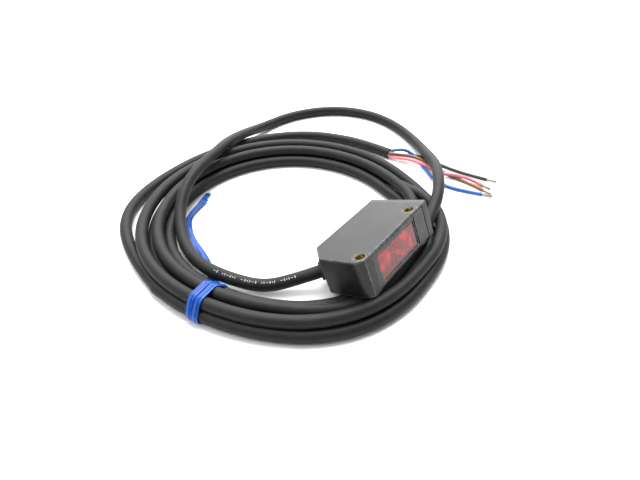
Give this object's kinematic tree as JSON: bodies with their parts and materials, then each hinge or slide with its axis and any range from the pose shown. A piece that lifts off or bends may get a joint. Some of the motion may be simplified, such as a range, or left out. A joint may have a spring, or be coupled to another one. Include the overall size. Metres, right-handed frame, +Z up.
{
  "type": "photoelectric sensor",
  "caption": "Slim rectangular photoelectric sensor with a red lens window, cut cable corner and threaded side holes, lying on its tied coil of cable with bare wire ends.",
  "frame": {"origin": "on the surface that the part lies on, under the middle of the sensor body's bounding box", "axes": "+X along the sensor body from its cable end to its top end, +Z up, the lens face towards -Y and tilted up"},
  "size_m": [0.1358, 0.1067, 0.0181],
  "materials": {
    "housing_black": "fine moulded texture, dark grey-black",
    "cover_grey": "fine satin, dark grey",
    "cap_black": "satin black",
    "window_red": "polished translucent red",
    "lens_clear": "clear moulded optics",
    "holder_black": "dead matt black",
    "board_green": "solder mask",
    "chip_black": "moulded epoxy",
    "chip_tan": "ceramic with tinned ends",
    "tinplate": "tinned sheet",
    "led_clear": "clear epoxy",
    "diode_dark": "dark filtering epoxy",
    "guide_clear": "clear moulded light guide",
    "dial_white": "natural nylon",
    "base_blue": "moulded switch body",
    "seal_rubber": "matt",
    "brass": "turned brass",
    "cable_pvc": "satin extruded jacket",
    "wire_brown": "extruded insulation",
    "wire_blue": "extruded insulation",
    "wire_pink": "extruded insulation",
    "wire_black": "extruded insulation",
    "tinned_copper": "soldered strands",
    "tie_blue": "glossy film over wire"
  },
  "bodies": {
    "sensor": {"black_tip": "tinned_copper", "black_wire": "wire_black", "blue_tip": "tinned_copper", "blue_wire": "wire_blue", "board_parts": "chip_tan", "brown_tip": "tinned_copper", "brown_wire": "wire_brown", "cable_bushing": "seal_rubber", "cable_clamp": "tinplate", "cable_coil": "cable_pvc", "cable_loop": "cable_pvc", "cable_stub": "cable_pvc", "cable_tail": "cable_pvc", "cap_gasket": "seal_rubber", "control_chip": "chip_black", "emitter_led": "led_clear", "end_cap": "cap_black", "front_cover": "cover_grey", "gain_trimmer": "base_blue", "housing": "housing_black", "inner_leads": "wire_black", "lens_block": "lens_clear", "lens_holder": "holder_black", "lower_insert": "brass", "main_board": "board_green", "mode_switch": "base_blue", "output_guide": "guide_clear", "output_led": "led_clear", "pink_tip": "tinned_copper", "pink_wire": "wire_pink", "power_guide": "guide_clear", "power_led": "led_clear", "receiver_diode": "diode_dark", "shield_can": "tinplate", "tie_tails": "tie_blue", "top_board": "board_green", "twist_tie": "tie_blue", "upper_insert": "brass", "window": "window_red"},
    "mode_dial": {"mode_dial": "dial_white"},
    "gain_dial": {"gain_dial": "dial_white"}
  },
  "joints": [
    {"name": "mode_turn", "type": "hinge", "parent": "sensor", "child": "mode_dial", "pos_m": [0.0165, 0.00488, 0.00696], "axis": [1, 0, 0], "range_deg": [0, 90]},
    {"name": "gain_turn", "type": "hinge", "parent": "sensor", "child": "gain_dial", "pos_m": [0.0165, 0.00028, 0.00892], "axis": [1, 0, 0], "range_deg": [-120, 120]}
  ]
}
